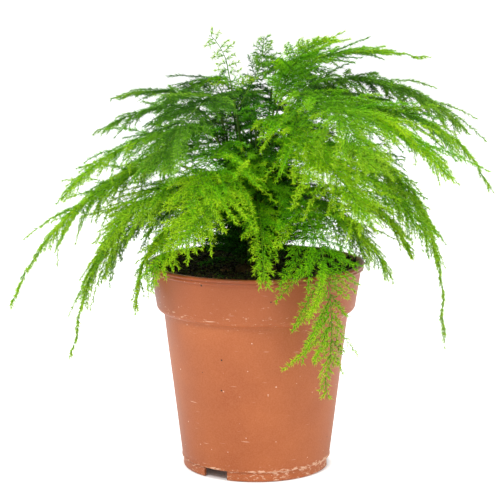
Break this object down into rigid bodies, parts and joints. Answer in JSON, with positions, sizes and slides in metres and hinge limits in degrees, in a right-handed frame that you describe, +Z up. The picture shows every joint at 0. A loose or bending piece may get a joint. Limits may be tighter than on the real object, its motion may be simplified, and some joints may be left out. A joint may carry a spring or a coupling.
{
  "type": "potted asparagus fern",
  "caption": "Bushy asparagus fern with wiry stems and feathery arching fronds, growing in a tapered plastic grower's pot with a collar, foot ring and potting soil.",
  "frame": {"origin": "where the pot's axis meets the table, at the centre of the pot's foot ring", "axes": "+Z up along the pot's axis; -Y towards the front of the plant as pictured; +X to the viewer's right"},
  "size_m": [0.2642, 0.1905, 0.2408],
  "materials": {
    "pot_plastic": "moulded terracotta-orange plastic, satin, lightly scuffed",
    "potting_soil": "dark crumbly peat potting mix",
    "crown_bark": "rough brown bark",
    "stem_green": "smooth wiry green stem",
    "leaf_lime": "young lime-green needle foliage",
    "leaf_mid": "mid-green needle foliage",
    "leaf_deep": "deep green needle foliage"
  },
  "bodies": {
    "root": {"grower_pot": "pot_plastic", "potting_soil": "potting_soil", "root_crown": "crown_bark", "stem_right": "stem_green", "stem_right_back": "stem_green", "stem_back_right": "stem_green", "stem_back": "stem_green", "stem_back_left": "stem_green", "stem_left_back": "stem_green", "stem_left": "stem_green", "stem_left_front": "stem_green", "stem_front_left": "stem_green", "stem_front": "stem_green", "stem_front_right": "stem_green", "stem_right_front": "stem_green", "stem_top_left": "stem_green", "stem_top_right": "stem_green", "frond_right_upper": "leaf_deep", "frond_right_arch": "leaf_mid", "frond_right_trail": "leaf_mid", "frond_right_low": "leaf_lime", "frond_right_back_upper": "leaf_deep", "frond_right_back_middle": "leaf_mid", "frond_right_back_low": "leaf_deep", "frond_back_right_upper": "leaf_mid", "frond_back_right_middle": "leaf_deep", "frond_back_right_low": "leaf_mid", "frond_back_upper": "leaf_deep", "frond_back_middle": "leaf_mid", "frond_back_trail": "leaf_mid", "frond_back_left_upper": "leaf_mid", "frond_back_left_middle": "leaf_deep", "frond_back_left_low": "leaf_mid", "frond_left_back_upper": "leaf_deep", "frond_left_back_middle": "leaf_mid", "frond_left_back_low": "leaf_deep", "frond_left_upper": "leaf_deep", "frond_left_arch": "leaf_mid", "frond_left_trail": "leaf_mid", "frond_left_low": "leaf_lime", "frond_left_front_upper": "leaf_mid", "frond_left_front_middle": "leaf_mid", "frond_left_front_rim": "leaf_lime", "frond_front_left_upper": "leaf_deep", "frond_front_left_middle": "leaf_lime", "frond_front_left_short": "leaf_deep", "frond_front_upper": "leaf_lime", "frond_front_middle": "leaf_lime", "frond_front_low": "leaf_lime", "frond_front_right_upper": "leaf_mid", "frond_front_right_middle": "leaf_lime", "frond_front_right_trail": "leaf_lime", "frond_right_front_upper": "leaf_lime", "frond_right_front_middle": "leaf_mid", "frond_right_front_low": "leaf_mid", "frond_top_sprig": "leaf_lime", "frond_top_plume": "leaf_deep", "frond_top_flat": "leaf_lime", "frond_top_right": "leaf_mid"}
  },
  "joints": []
}
